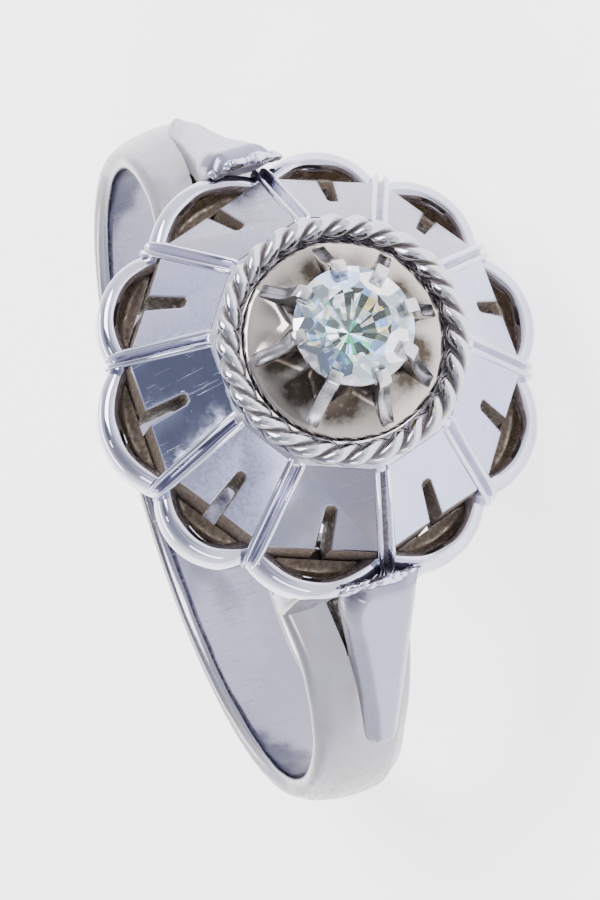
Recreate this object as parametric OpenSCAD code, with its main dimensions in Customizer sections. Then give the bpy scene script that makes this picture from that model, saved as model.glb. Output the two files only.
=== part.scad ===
// Solitaire ring: a split band with two leaf shoulders carries a ten-petal flower crown.
// On the crown sit a twisted rope collar and a fluted cup whose eight claws hold a round brilliant.
// Each piece is drawn with the centre of the finger hole at the origin, the stone's axis along +Z and
// the finger's axis along Y. The last step lays the whole ring on its side, as it rests on a table.

/* [Band] */
// Inside diameter of the band
finger_d = 17.2; // [16.8:0.1:17.6]
// Thickness of the band along its middle
band_t = 0.9; // [0.8:0.05:1.1]
// Width of the band
band_w = 2.9; // [2.6:0.1:3.2]
// Radius of the band's domed outer side
dome_r = 3.2; // [2.8:0.1:6]
// Angle above the horizontal where the band splits into two arms
split_at = 47; // [46:1:50]
// Angle above the horizontal where the arms end
arm_end = 62; // [58:1:64]
// Angle by which the wider arm of each pair leans outward
arm_spread = 12; // [10:0.5:13]
// Width of the wider arm
arm_w = 1.15; // [1.05:0.05:1.25]

/* [Leaf shoulders] */
// Angle above the horizontal of the middle of the leaf's root
leaf_at = 22.3; // [21:0.1:24]
// Height of the leaf's face above the band at its root
leaf_rise = 0.22; // [0.15:0.01:0.3]
// Thickness of the leaf
leaf_t = 0.9; // [0.7:0.05:1]
// Width of the leaves, as a share of the widths in their table
leaf_share = 1; // [0.9:0.02:1.1]

/* [Crown] */
// Radius at the outer ends of the channels
rim_r = 5.35; // [5.2:0.05:5.5]
// Height of the outer ends of the channels above the finger hole's centre
rim_z = 10.9; // [10.8:0.1:11.2]
// Radius at the inner ends of the channels
neck_r = 3.4; // [3.35:0.05:3.5]
// Height of the inner ends of the channels
neck_z = 13.5; // [13.4:0.05:13.7]
// Radius at the tips of the petals
lobe_r = 5.93; // [5.85:0.02:6.1]
// Height of the crown's lower edge
skirt_z = 9.1; // [8.95:0.05:9.3]
// Thickness of a petal's plate
petal_t = 0.9; // [0.75:0.05:0.95]
// Width of a channel between two petals
channel_w = 0.4; // [0.35:0.05:0.5]
// Depth of a channel
channel_d = 0.26; // [0.15:0.02:0.32]
// Distance of a petal's straight outer edge from the axis
edge_r = 4.88; // [4.8:0.02:4.95]
// Distance of the inner end of a petal's slot from the axis
slot_r = 4.0; // [3.8:0.05:4.3]

/* [Rope collar] */
// Mean radius of the rope
rope_r = 2.98; // [2.96:0.01:3]
// Radius of one strand
strand_r = 0.17; // [0.14:0.01:0.18]
// Number of full twists in the rope
twists = 14; // [12:1:20]

/* [Claw cup and stone] */
// Diameter of the stone
stone_d = 3.1; // [3:0.05:3.14]
// Height of the stone's girdle above the finger hole's centre
girdle_z = 15.2; // [15.15:0.05:15.3]
// Width of a claw
claw_w = 0.36; // [0.3:0.02:0.44]

/* [Hidden] */
$fn = 96;
metal = "gainsboro";
gap = 0.05;
finger_r = finger_d / 2;
band_r = finger_r + band_t;

// Angles of the channels around the axis, and of the claws, as the hand-finished ring has them
groove_at = [0, 36, 74, 110, 145, 179, 218, 252, 290, 322];
claw_at = [9, 47, 92, 136, 178, 223, 268, 321];
function petal_mid(k) = (groove_at[k] + groove_at[(k + 1) % 10] + (k == 9 ? 360 : 0)) / 2;
function petal_half(k) = (groove_at[(k + 1) % 10] - groove_at[k] + (k == 9 ? 360 : 0)) / 2;
function claw_mid(k) = (claw_at[k] + claw_at[(k + 1) % 8] + (k == 7 ? 360 : 0)) / 2;

// Slope of the channels, and how far the inside of a petal lies behind its face
face_slope = (neck_z - rim_z) / (rim_r - neck_r);
petal_in = petal_t / sin(atan(face_slope));

// Arc of a petal's lobe: its radius, and the distance of its centre from the axis
function lobe_rise(h) = lobe_r - rim_r * cos(h);
function lobe_rad(h) = (pow(rim_r * sin(h), 2) + pow(lobe_rise(h), 2)) / (2 * lobe_rise(h));
function lobe_centre(h) = lobe_r - lobe_rad(h);

seat_z = 13.42;
seat_r = 2.6;
land_t = 0.4;
wall_t = 0.4;
lip_z = 10.3;
slot_w = 0.26;
slit_w = 0.2;
corner_w = 0.36;
tall = 30;
wide = 14;

// Turns a shape drawn around Z so that it lies around the finger's axis
module around_finger() {
    rotate([90, 0, 0]) children();
}

// Closed lower part of the band, with a flat inside and a domed outside
spare = 0.4;
module band() {
    around_finger()
    rotate_extrude(angle = 180 + 2 * split_at, start = 180 - split_at, $fn = 180)
    intersection() {
        translate([finger_r - spare, -band_w / 2]) square([band_t + spare, band_w]);
        translate([band_r - dome_r, 0]) circle(dome_r);
    }
}

// The two arms of each shoulder, which differ because the ring was finished by hand
// Columns: side, lean, distance of the outer edge from the middle, and width
arms = [[-1, arm_spread, 0.62, arm_w], [1, 5, 0.75, arm_w - 0.25]];
arm_start = -8;
arm_dome = 1.6;
arm_low = 0.04;

// One arm of a split shoulder: part of the band, leaning outward as it rises
module arm(row, flip) {
    side = row[0] * flip;
    middle = row[2] - row[3] / 2;
    rotate([-side * row[1], 0, 0])
    around_finger()
    rotate_extrude(angle = arm_end - arm_start, start = arm_start, $fn = 180)
    intersection() {
        translate([finger_r - spare, -side * middle - row[3] / 2])
        square([band_t + spare - arm_low, row[3]]);
        translate([band_r - arm_low - arm_dome, -side * middle]) circle(arm_dome);
    }
}

// Foot that carries the crown on the end of an arm: its nearest corner and its size
feet = [[[4.25, -2.4, 7.3], [1.2, 1.1, 2.4]], [[4.25, 0.35, 7.3], [1.35, 1, 2.4]]];
module foot(row, flip) {
    corner = row[0];
    size = row[1];
    translate([corner.x, flip > 0 ? corner.y : -corner.y - size.y, corner.z]) cube(size);
}

// The +Y edge of the band is filed narrower above its lowest part: half width and height
filed_rows = [[1.46, -9.05], [1.24, -8.2], [1.24, -3.5], [1, 3], [1.4, 8.8]];
module filed_edge() {
    low = filed_rows[0][1];
    high = filed_rows[len(filed_rows) - 1][1];
    rotate([90, 0, 90])
    linear_extrude(2 * wide, center = true)
    polygon(concat(filed_rows, [[band_w, high], [band_w, low]]));
}

// Leaf: a flat tongue that leaves the band at a tangent and stands up to the crown's rim
// Columns: distance from the root, width towards -Y, and width towards +Y of the near and the far leaf
leaf_rows = [
    [-0.4, 0.12, 0.16, 0.02],
    [-0.2, 0.3, 0.34, 0.08],
    [0.2, 0.38, 0.48, 0.1],
    [1, 0.4, 0.6, 0.12],
    [2.4, 0.57, 0.64, 0.15],
    [4.2, 0.84, 0.66, 0.18],
    [5.6, 1.07, 0.68, 0.28],
    [6.8, 1.26, 0.7, 0.42],
    [8.05, 1.2, 0.72, 0.52]];
module leaf(flip) {
    wide_column = flip > 0 ? 2 : 3;
    rotate([0, -leaf_at, 0])
    translate([band_r + leaf_rise, 0, 0])
    rotate([0, -90, 0])
    linear_extrude(leaf_t)
    polygon(concat(
        [for (row = leaf_rows) [row[0], -flip * leaf_share * row[1]]],
        [for (i = [len(leaf_rows) - 1 : -1 : 0])
            [leaf_rows[i][0], flip * leaf_share * leaf_rows[i][wide_column]]]));
}

// Beads of solder where a leaf meets the crown: place across the leaf, distance out and radius
solder_beads = [[-0.85, 5.7, 0.22], [-0.4, 5.8, 0.27], [0.05, 5.82, 0.26], [0.45, 5.74, 0.2]];
solder_low = 0.1;
module solder(flip) {
    for (bead = solder_beads)
        translate([bead[1], flip * bead[0], rim_z - solder_low]) sphere(bead[2], $fn = 32);
}

// Band and arms with the filed edge, and the leaves and feet on them
module shoulders() {
    difference() {
        union() {
            band();
            for (flip = [1, -1], row = arms) rotate([0, 0, flip > 0 ? 0 : 180]) arm(row, flip);
        }
        filed_edge();
    }
    for (flip = [1, -1])
        rotate([0, 0, flip > 0 ? 0 : 180]) {
            for (row = feet) foot(row, flip);
            leaf(flip);
            solder(flip);
        }
}

// Ten-sided block whose corners stand at the channels, from rows of corner radius and height
module petal_stack(rows) {
    last = 10 * (len(rows) - 1);
    polyhedron(
        points = [for (row = rows, turn = groove_at) [row[0] * cos(turn), row[0] * sin(turn), row[1]]],
        faces = concat(
            [[for (k = [0 : 9]) k]],
            [[for (k = [9 : -1 : 0]) last + k]],
            [for (i = [0 : len(rows) - 2], k = [0 : 9])
                let (n = (k + 1) % 10)
                [10 * i + k, 10 * i + 10 + k, 10 * i + 10 + n, 10 * i + n]]));
}

// Plates of the petals: a sloping ten-sided shell with a flat seat on top
module petal_plates() {
    difference() {
        petal_stack([[rim_r, skirt_z], [rim_r, rim_z], [neck_r, neck_z]]);
        petal_stack([
            [rim_r + 0.4, skirt_z - 1], [rim_r + 0.4, rim_z - (0.4 + petal_in) * face_slope],
            [rim_r - petal_in - (seat_z - land_t - rim_z) / face_slope, seat_z - land_t]]);
        translate([0, 0, skirt_z - 1]) cylinder(r = seat_r, h = tall);
        translate([0, 0, seat_z]) cylinder(r = wide / 2, h = tall);
    }
}

// Plan of the ten lobes together, drawn in by inset
module rosette(inset) {
    circle(slot_r);
    for (k = [0 : 9])
        rotate(petal_mid(k))
        translate([lobe_centre(petal_half(k)), 0])
        circle(lobe_rad(petal_half(k)) - inset);
}

// Lip that stands along the lobes, layer by layer: bottom, top, inset of the outside, and width
lip_layers = [
    [skirt_z, lip_z - 0.24, 0.05, wall_t],
    [lip_z - 0.24, lip_z + 0.12, 0.02, wall_t + 0.08],
    [lip_z + 0.12, lip_z + 0.24, 0.12, wall_t - 0.12]];
module lips() {
    for (layer = lip_layers)
        translate([0, 0, layer[0]])
        linear_extrude(layer[1] - layer[0])
        difference() {
            rosette(layer[2]);
            rosette(layer[2] + layer[3]);
        }
}

// Floor inside each lobe, between the lip and the petal's straight outer edge
floor_z = 9.8;
floor_t = 0.3;
floor_r = 5.25;
module lobe_floors() {
    translate([0, 0, floor_z])
    linear_extrude(floor_t)
    difference() {
        rosette(wall_t / 2);
        polygon([for (turn = groove_at) [floor_r * cos(turn), floor_r * sin(turn)]]);
    }
}

// Channel along the ridge between two petals, cut by a bar that starts before the rim
channel_start = 1;
channel_length = 5;
module channel(k) {
    rotate([0, 0, groove_at[k]])
    translate([rim_r, 0, rim_z])
    rotate([0, atan(face_slope) - 180, 0])
    translate([-channel_start, -channel_w / 2, -channel_start])
    cube([channel_length, channel_w, channel_start + channel_d]);
}

// Opening of a petal: a slot along its middle that meets a slit along its straight outer edge
slot_flare = 1.4;
cut_z = skirt_z - 1;
module piercing(k) {
    end = edge_r + slit_w / 2;
    narrow = slot_w / 2;
    broad = narrow * slot_flare;
    rotate([0, 0, petal_mid(k)])
    translate([0, 0, cut_z])
    linear_extrude(tall)
    polygon([[slot_r, -narrow], [end, -broad], [end, broad], [slot_r, narrow]]);
    scoop(k, cut_z, edge_r + slit_w);
    scoop(k, floor_z + floor_t, edge_r + wide / 4);
}

// Space inside a lobe, upwards from low and outwards from the petal's straight edge as far as end
module scoop(k, low, end) {
    h = petal_half(k);
    rotate([0, 0, petal_mid(k)])
    translate([0, 0, low])
    linear_extrude(tall)
    intersection() {
        translate([lobe_centre(h), 0]) circle(lobe_rad(h) - wall_t / 2);
        translate([edge_r, -wide / 4]) square([end - edge_r, wide / 2]);
        polygon([
            [0, 0], [wide / 2, -wide / 2 * tan(h) + corner_w], [wide / 2, wide / 2 * tan(h) - corner_w]]);
    }
}

// Flower crown: pierced petals round a flat seat for the rope and the cup
module crown() {
    difference() {
        union() {
            petal_plates();
            lobe_floors();
        }
        for (k = [0 : 9]) {
            channel(k);
            piercing(k);
        }
    }
    lips();
}

// Band, shoulders and crown, soldered into one
module mount() {
    color(metal)
    difference() {
        union() {
            shoulders();
            crown();
        }
        around_finger() cylinder(r = finger_r, h = wide, center = true, $fn = 180);
    }
}

// Two strands twisted into a closed ring, as one skin with a waisted section
rope_steps = 8 * twists;
rope_sides = 12;
strand_off = 0.8 * strand_r;
function strand_edge(a) = strand_off * abs(cos(a)) + sqrt(pow(strand_r, 2) - pow(strand_off * sin(a), 2));
function rope_point(i, j) =
    let (
        turn = 360 * i / rope_steps,
        a = 360 * j / rope_sides,
        d = strand_edge(a),
        b = a + 180 * 2 * twists * i / rope_steps,
        r = rope_r + d * cos(b)
    )
    [r * cos(turn), r * sin(turn), seat_z + gap + strand_r + strand_off + d * sin(b)];
module rope_collar() {
    color(metal)
    polyhedron(
        points = [for (i = [0 : rope_steps - 1], j = [0 : rope_sides - 1]) rope_point(i, j)],
        faces = [
            for (i = [0 : rope_steps - 1], j = [0 : rope_sides - 1])
            let (n = (i + 1) % rope_steps, m = (j + 1) % rope_sides)
            each [
                [i * rope_sides + j, n * rope_sides + m, n * rope_sides + j],
                [i * rope_sides + j, i * rope_sides + m, n * rope_sides + m]
            ]]);
}

// Stone measurements
stone_r = stone_d / 2;
girdle_t = 0.1;
table_r = 0.57 * stone_r;
crown_deg = 34.5;
pavilion_deg = 41;
table_z = girdle_z + girdle_t / 2 + (stone_r - table_r) * tan(crown_deg);
culet_z = girdle_z - girdle_t / 2 - stone_r * tan(pavilion_deg);

// Cup: a bell with eight scooped flutes, and a claw on each rib between them
cup_r = seat_r - gap;
cup_low = 12.5;
module cup_bell() {
    rotate_extrude()
    polygon([
        [1, cup_low], [cup_r, cup_low], [cup_r, 13.75], [2.2, 14.05], [1.75, 14.55], [1.5, 14.95],
        [1.4, 14.95], [0.95, 14.5]]);
}
flute_r = 0.85;
flute_at = [2.55, 0, 14.72];
flute_lean = 42;
module flute(k) {
    rotate([0, 0, claw_mid(k)])
    translate(flute_at)
    rotate([0, -flute_lean, 0])
    cylinder(r = flute_r, h = 4, center = true);
}
module claw(k) {
    rotate([0, 0, claw_at[k]])
    translate([0, claw_w / 2, 0])
    rotate([90, 0, 0])
    linear_extrude(claw_w)
    polygon([
        [1.2, 13.3], [2.5, 13.3], [cup_r, 13.8], [2.28, 14.1], [1.95, 14.55], [1.8, 15], [1.74, 15.35],
        claw_tip, [1.36, 15.6], [1.32, 15.47], [stone_r + 0.03, 15.28], [stone_r + 0.03, 15.12],
        [1.4, 14.92]]);
}
module claw_cup() {
    color(metal) {
        difference() {
            cup_bell();
            for (k = [0 : 7]) flute(k);
        }
        for (k = [0 : 7]) claw(k);
    }
}

// Corners of the brilliant, row by row: count, first angle, radius and height
star_share = 0.78;
main_share = 0.24;
main_lift = 1.12;
star_r = star_share * stone_r;
star_z = (girdle_z + girdle_t / 2 + table_z) / 2;
main_r = main_share * stone_r;
main_z = culet_z + main_r * tan(pavilion_deg) * main_lift;
stone_rows = [
    [8, 22.5, table_r, table_z],
    [8, 0, star_r, star_z],
    [16, 0, stone_r, girdle_z + girdle_t / 2],
    [16, 0, stone_r, girdle_z - girdle_t / 2],
    [8, 0, main_r, main_z],
    [1, 0, 0, culet_z]];
stone_points = [
    for (row = stone_rows, i = [0 : row[0] - 1])
    let (turn = row[1] + 360 * i / row[0])
    [row[2] * cos(turn), row[2] * sin(turn), row[3]]];
table = 0;
star = 8;
upper = 16;
lower = 32;
main = 48;
culet = 56;

// Round brilliant: table, stars, kites and girdle facets above, girdle and main facets below
module brilliant() {
    color("azure")
    polyhedron(
        points = stone_points,
        faces = concat(
            [[for (i = [7 : -1 : 0]) table + i]],
            [for (i = [0 : 7]) let (j = (i + 7) % 8) [table + j, table + i, star + i]],
            [for (i = [0 : 7])
                let (n = (i + 1) % 8)
                [table + i, star + n, upper + 2 * i + 1, star + i]],
            [for (i = [0 : 7]) [star + i, upper + 2 * i + 1, upper + 2 * i]],
            [for (i = [0 : 7]) let (n = (i + 1) % 8) [star + n, upper + 2 * n, upper + 2 * i + 1]],
            [for (i = [0 : 15])
                let (n = (i + 1) % 16)
                [upper + i, upper + n, lower + n, lower + i]],
            [for (i = [0 : 7]) [main + i, lower + 2 * i, lower + 2 * i + 1]],
            [for (i = [0 : 7]) let (n = (i + 1) % 8) [main + n, lower + 2 * i + 1, lower + 2 * n]],
            [for (i = [0 : 7])
                let (n = (i + 1) % 8)
                [culet, main + i, lower + 2 * i + 1, main + n]]));
}

// Lays the ring on its side: the foot of one lobe and the band's lower corner touch the table
edge_band_r = band_r - dome_r + sqrt(pow(dome_r, 2) - pow(band_w / 2, 2));
foot_lobe_r = lobe_r - lip_layers[0][2];
lean = atan2(foot_lobe_r - band_w / 2, skirt_z + edge_band_r);
lay_z = foot_lobe_r * cos(lean) - skirt_z * sin(lean);
claw_tip = [1.6, 15.55];
reach_top = claw_tip[0] * sin(lean) + claw_tip[1] * cos(lean);
reach_back = (band_r - dome_r) * cos(lean) + dome_r;
lay_y = (reach_back - reach_top) / 2;
module lay_down() {
    translate([0, lay_y, lay_z]) rotate([lean - 90, 0, 0]) children();
}

lay_down() mount();
lay_down() rope_collar();
lay_down() claw_cup();
lay_down() brilliant();
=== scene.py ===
import bmesh
import bpy
import math
from mathutils import Matrix, Vector, noise


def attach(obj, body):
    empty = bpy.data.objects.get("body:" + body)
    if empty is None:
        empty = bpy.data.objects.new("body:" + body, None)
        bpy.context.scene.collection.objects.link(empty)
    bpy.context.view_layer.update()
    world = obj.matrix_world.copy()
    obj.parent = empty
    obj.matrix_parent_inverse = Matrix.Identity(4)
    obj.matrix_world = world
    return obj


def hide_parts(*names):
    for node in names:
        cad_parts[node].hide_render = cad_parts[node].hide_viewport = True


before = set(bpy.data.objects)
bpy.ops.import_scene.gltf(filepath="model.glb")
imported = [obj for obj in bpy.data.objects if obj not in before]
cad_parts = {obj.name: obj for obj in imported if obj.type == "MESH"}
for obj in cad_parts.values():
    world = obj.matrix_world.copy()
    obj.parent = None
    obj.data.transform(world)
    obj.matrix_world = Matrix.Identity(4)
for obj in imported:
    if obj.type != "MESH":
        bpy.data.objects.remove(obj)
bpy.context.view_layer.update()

# Everything is drawn in millimetres with the finger hole's centre at zero, the stone's axis along Z and
# the finger's axis along Y, and then laid on its side on the table as the metal parts are.
millimetre = 0.001
lying = {"lean": 13.642, "holeY": -3.083, "holeZ": 3.568}
layDown = (Matrix.Scale(millimetre, 4)
           @ Matrix.Translation((0, lying["holeY"], lying["holeZ"]))
           @ Matrix.Rotation(math.radians(lying["lean"] - 90), 4, "X"))
origin = Vector((0, 0, 0))
stoneAxis = Vector((0, 0, 1))


def turnZ(degrees):
    return Matrix.Rotation(math.radians(degrees), 4, "Z")


def smoothStep(low, high, x):
    t = min(max((x - low) / (high - low), 0), 1)
    return t * t * (3 - 2 * t)


def fade(amount, low, high, x):
    # nothing at low, and the whole amount at high
    return amount * smoothStep(low, high, x)


def fromRows(rows, x, column):
    # one column of a table at x, along straight lines between its rows
    for low, high in zip(rows, rows[1:]):
        if x <= high[0]:
            t = min(max((x - low[0]) / (high[0] - low[0]), 0), 1)
            return low[column] + (high[column] - low[column]) * t
    return rows[-1][column]


# materials

def newMaterial(name):
    material = bpy.data.materials.new(name)
    material.use_nodes = True
    return material, material.node_tree.nodes["Principled BSDF"]


def setInputs(node, values):
    for name, value in values.items():
        node.inputs[name].default_value = value


def ringCoordinates(tree, stretch=(1, 1, 1), turn=0):
    # Object coordinates turned back to the drawing's own axes, in millimetres
    tilt = Matrix.Rotation(math.radians(90 - lying["lean"]), 4, "X")
    shift = -(tilt @ Vector((0, lying["holeY"], lying["holeZ"])))
    place = tree.nodes.new("ShaderNodeTexCoord")
    back = tree.nodes.new("ShaderNodeMapping")
    setInputs(back, {"Scale": (1 / millimetre,) * 3, "Rotation": tilt.to_euler(), "Location": shift})
    tree.links.new(place.outputs["Object"], back.inputs["Vector"])
    spread = tree.nodes.new("ShaderNodeMapping")
    setInputs(spread, {"Rotation": (0, 0, math.radians(turn)), "Scale": stretch})
    tree.links.new(back.outputs[0], spread.inputs["Vector"])
    return spread.outputs[0]


def spreadValue(tree, value, fromRange, toRange):
    node = tree.nodes.new("ShaderNodeMapRange")
    setInputs(node, dict(zip(("From Min", "From Max", "To Min", "To Max"), (*fromRange, *toRange))))
    tree.links.new(value, node.inputs["Value"])
    return node.outputs["Result"]


def mixColours(tree, share, first, second):
    mix = tree.nodes.new("ShaderNodeMix")
    mix.data_type = "RGBA"
    tree.links.new(share, mix.inputs["Factor"])
    for socket, colour in (("A", first), ("B", second)):
        target = [i for i in mix.inputs if i.name == socket and i.type == "RGBA"][0]
        if isinstance(colour, tuple):
            target.default_value = (*colour, 1)
        else:
            tree.links.new(colour, target)
    return [o for o in mix.outputs if o.type == "RGBA"][0]


def combine(tree, operation, *values, clamp=True):
    node = tree.nodes.new("ShaderNodeMath")
    node.operation = operation
    node.use_clamp = clamp
    for socket, value in zip(node.inputs, values):
        if isinstance(value, (int, float)):
            socket.default_value = value
        else:
            tree.links.new(value, socket)
    return node.outputs[0]


# noises on the gold: scale per millimetre, detail and roughness
goldNoises = {
    "patches": (0.9, 4, 0.55), "fine": (7, 4, 0.65), "brushing": (5, 5, 0.7), "scratches": (2.2, 2, 0.5),
    "swell": (0.55, 1, 0.55),
}
goldLook = {
    "warm": (0.27, 0.24, 0.225),  # colour of the warmer patches
    "brown": (0.075, 0.05, 0.035), "darkShade": (0.038, 0.029, 0.023),  # colours of tarnish and of painted shade
    # ranges of the noises
    "patchRange": (0.45, 0.75), "wearRange": (0.3, 0.7), "spotRange": (0.3, 0.62),
    "scratchRange": (0.68, 0.74),
    "deepestMark": 1.15,
    "mattFrom": 0.4,  # depth of tarnish and painted shade from which the metal turns matt
    "roughFrom": 0.3, "roughest": 0.6,  # depth from which it gets rougher, and by how much at most
    "extraRoughness": 0.02,
    "scratchStretch": (14, 0.3, 0.3), "scratchTurn": 50,
    "swellHeight": 12, "bumpUnit": 0.01,
}
plainFinish = {
    "warmth": 0.3,  # how strongly the warmer patches show
    "grain": 0.05, "stretch": (1, 1, 1), "turn": 0,  # height and direction of the brushing
    "scratch": 0.2, "wear": 0.3,  # depth of the scratches, and how uneven the roughness is
    "swell": 0.3,  # how far from flat hand filing left the surface
    "spots": 0.6, "matt": 0.9, "stainAndShade": "brown",  # how broken and how dull the tarnish and painted shade are, and their colour
}
# each finish's colour and roughness, and where else it differs from the plain one
goldFinishes = [
    ("polishedBand", (0.275, 0.268, 0.32), 0.2,
     {"warmth": 0.8, "stretch": (1, 3, 1), "scratch": 0.1, "wear": 0.2, "swell": 0.35}),
    ("wornInside", (0.19, 0.19, 0.25), 0.13,
     {"warmth": 0.2, "stretch": (1, 3, 1), "wear": 0.4, "swell": 0.5}),
    ("satinLeaf", (0.225, 0.23, 0.315), 0.24,
     {"stretch": (1, 3, 3), "scratch": 0.1, "wear": 0.2, "spots": 0.2}),
    ("satinPetal", (0.41, 0.42, 0.59), 0.27,
     {"warmth": 0.15, "grain": 0.04, "stretch": (6, 6, 2), "swell": 0.1}),
    ("scratchedPetal", (0.39, 0.41, 0.59), 0.09,
     {"warmth": 0.05, "grain": 0.03, "stretch": (5, 1, 1), "turn": 35, "scratch": 0.25, "wear": 0.4,
      "swell": 0.7}),
    # the next two are darker copies of the petal metal, for painted shade on some petals; the second is
    # brushed
    ("shadedGreyPetal", (0.25, 0.245, 0.32), 0.27, {"grain": 0.04, "stretch": (6, 6, 2), "swell": 0.1}),
    ("shadedBrushedPetal", (0.17, 0.175, 0.24), 0.16, {"warmth": 0.4, "stretch": (1, 8, 1), "swell": 0.8}),
    ("brightRim", (0.5, 0.5, 0.62), 0.07, {"scratch": 0, "wear": 0.1, "swell": 0.6}),
    ("brightCup", (0.37, 0.34, 0.31), 0.1,
     {"warmth": 0.8, "grain": 0.1, "scratch": 0, "wear": 0.1, "spots": 0.3, "matt": 0.1, "stainAndShade": "darkShade"}),
    ("polishedClaw", (0.42, 0.41, 0.43), 0.2, {"warmth": 0.4, "scratch": 0, "wear": 0.1, "spots": 0.3}),
    ("brightRope", (0.45, 0.45, 0.5), 0.08, {"scratch": 0, "wear": 0.1, "spots": 0.3}),
    ("tarnishedScoop", (0.36, 0.31, 0.26), 0.24,
     {"warmth": 0.9, "grain": 0.6, "stretch": (2, 2, 2), "swell": 1}),
]


def goldNoise(tree, name, vector):
    node = tree.nodes.new("ShaderNodeTexNoise")
    setInputs(node, dict(zip(("Scale", "Detail", "Roughness"), goldNoises[name])))
    tree.links.new(vector, node.inputs["Vector"])
    return node.outputs["Fac"]


def goldRelief(tree, plain, finish):
    # brushing, scratches and the swell that hand filing leaves
    brushing = goldNoise(tree, "brushing", ringCoordinates(tree, finish["stretch"], finish["turn"]))
    grain = spreadValue(tree, brushing, (0, 1), (0, finish["grain"]))
    scratchTurn = finish["turn"] + goldLook["scratchTurn"]
    scratches = goldNoise(tree, "scratches", ringCoordinates(tree, goldLook["scratchStretch"], scratchTurn))
    grooves = spreadValue(tree, scratches, goldLook["scratchRange"], (0, -1))
    swellHeight = goldLook["swellHeight"] * finish["swell"]
    swell = spreadValue(tree, goldNoise(tree, "swell", plain), (0, 1), (0, swellHeight))
    rise = combine(tree, "ADD", grain, swell, clamp=False)
    height = combine(tree, "MULTIPLY_ADD", grooves, finish["scratch"], rise, clamp=False)
    bump = tree.nodes.new("ShaderNodeBump")
    setInputs(bump, {"Strength": 1, "Distance": goldLook["bumpUnit"] * millimetre})
    tree.links.new(height, bump.inputs["Height"])
    return bump.outputs[0]


def goldFinish(name, colour, roughness, finish):
    material, shader = newMaterial(name)
    tree = material.node_tree
    plain = ringCoordinates(tree)
    fine = goldNoise(tree, "fine", plain)
    # tarnish and painted shade, where the piece's own marks put them
    mark = tree.nodes.new("ShaderNodeAttribute")
    mark.attribute_name = "tarnishAndShade"
    most = goldLook["deepestMark"]
    broken = spreadValue(tree, fine, goldLook["spotRange"], (most - finish["spots"], most))
    depth = combine(tree, "MULTIPLY", mark.outputs["Fac"], broken)
    patches = goldNoise(tree, "patches", plain)
    warmth = spreadValue(tree, patches, goldLook["patchRange"], (0, finish["warmth"]))
    tinted = mixColours(tree, warmth, colour, goldLook["warm"])
    stainedAndShaded = mixColours(tree, depth, tinted, goldLook[finish["stainAndShade"]])
    tree.links.new(stainedAndShaded, shader.inputs["Base Color"])
    metal = spreadValue(tree, depth, (goldLook["mattFrom"], 1), (1, 1 - finish["matt"]))
    tree.links.new(metal, shader.inputs["Metallic"])
    smooth = roughness * (1 - finish["wear"])
    worn = roughness * (1 + finish["wear"]) + goldLook["extraRoughness"]
    rough = spreadValue(tree, fine, goldLook["wearRange"], (smooth, worn))
    dulled = spreadValue(tree, depth, (goldLook["roughFrom"], 1), (0, goldLook["roughest"] * finish["matt"]))
    tree.links.new(combine(tree, "ADD", rough, dulled), shader.inputs["Roughness"])
    tree.links.new(goldRelief(tree, plain, finish), shader.inputs["Normal"])
    return material


gold = {}
for name, colour, roughness, differences in goldFinishes:
    gold[name] = goldFinish(name, colour, roughness, {**plainFinish, **differences})


# putting a piece in place

def addObject(name, data):
    added = bpy.data.objects.new(name, data)
    bpy.context.scene.collection.objects.link(added)
    return added


def blankMesh():
    bm = bmesh.new()
    bm.verts.layers.float.new("tarnishAndShade")
    return bm


def addPiece(name, bm, materials, node, sharpAngle):
    bmesh.ops.transform(bm, matrix=layDown, verts=bm.verts)
    mesh = bpy.data.meshes.new(name)
    bm.to_mesh(mesh)
    bm.free()
    mesh.shade_smooth()
    mesh.set_sharp_from_angle(angle=math.radians(sharpAngle))
    for material in materials:
        mesh.materials.append(material)
    piece = addObject(name, mesh)
    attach(piece, "root")
    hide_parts(node)


def markTarnishAndShade(bm, verts, amount):
    # the mark holds tarnish and painted shade, whichever is deeper
    layer = bm.verts.layers.float["tarnishAndShade"]
    for v in verts:
        v[layer] = max(v[layer], amount(v.co))


def newSince(bm, before):
    return [v for v in bm.verts if v not in before]


def extrude(bm, faces, keep=True):
    slab = bmesh.ops.extrude_face_region(bm, geom=faces, use_keep_orig=keep)
    return [g for g in slab["geom"] if isinstance(g, bmesh.types.BMVert)]


def turnPart(bm, verts, degrees):
    bmesh.ops.transform(bm, matrix=turnZ(degrees), verts=verts)


def closedPath(bm, points):
    verts = [bm.verts.new(p) for p in points]
    edges = [bm.edges.new(pair) for pair in zip(verts, verts[1:] + verts[:1])]
    return verts, edges


def spinProfile(bm, points, steps, centre=origin, start=0, angle=360):
    # spins a closed profile around a line along Z through the centre
    verts, edges = closedPath(bm, points)
    bmesh.ops.rotate(bm, verts=verts, cent=centre, matrix=Matrix.Rotation(math.radians(start), 3, stoneAxis))
    bmesh.ops.spin(bm, geom=verts + edges, cent=centre, axis=stoneAxis, dvec=origin,
                   angle=math.radians(angle), steps=steps, use_merge=angle == 360, use_duplicate=False)


def faceOut(bm):
    bmesh.ops.recalc_face_normals(bm, faces=bm.faces)


def closeHoles(bm):
    holes = [e for e in bm.edges if e.is_boundary]
    bmesh.ops.holes_fill(bm, edges=holes, sides=0)
    faceOut(bm)


def bevelEdges(bm, edges, offset, segments):
    bmesh.ops.bevel(bm, geom=edges, offset=offset, offset_type="OFFSET", segments=segments, profile=0.5,
                    affect="EDGES", material=-1, clamp_overlap=True)


# band and split shoulders

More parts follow.
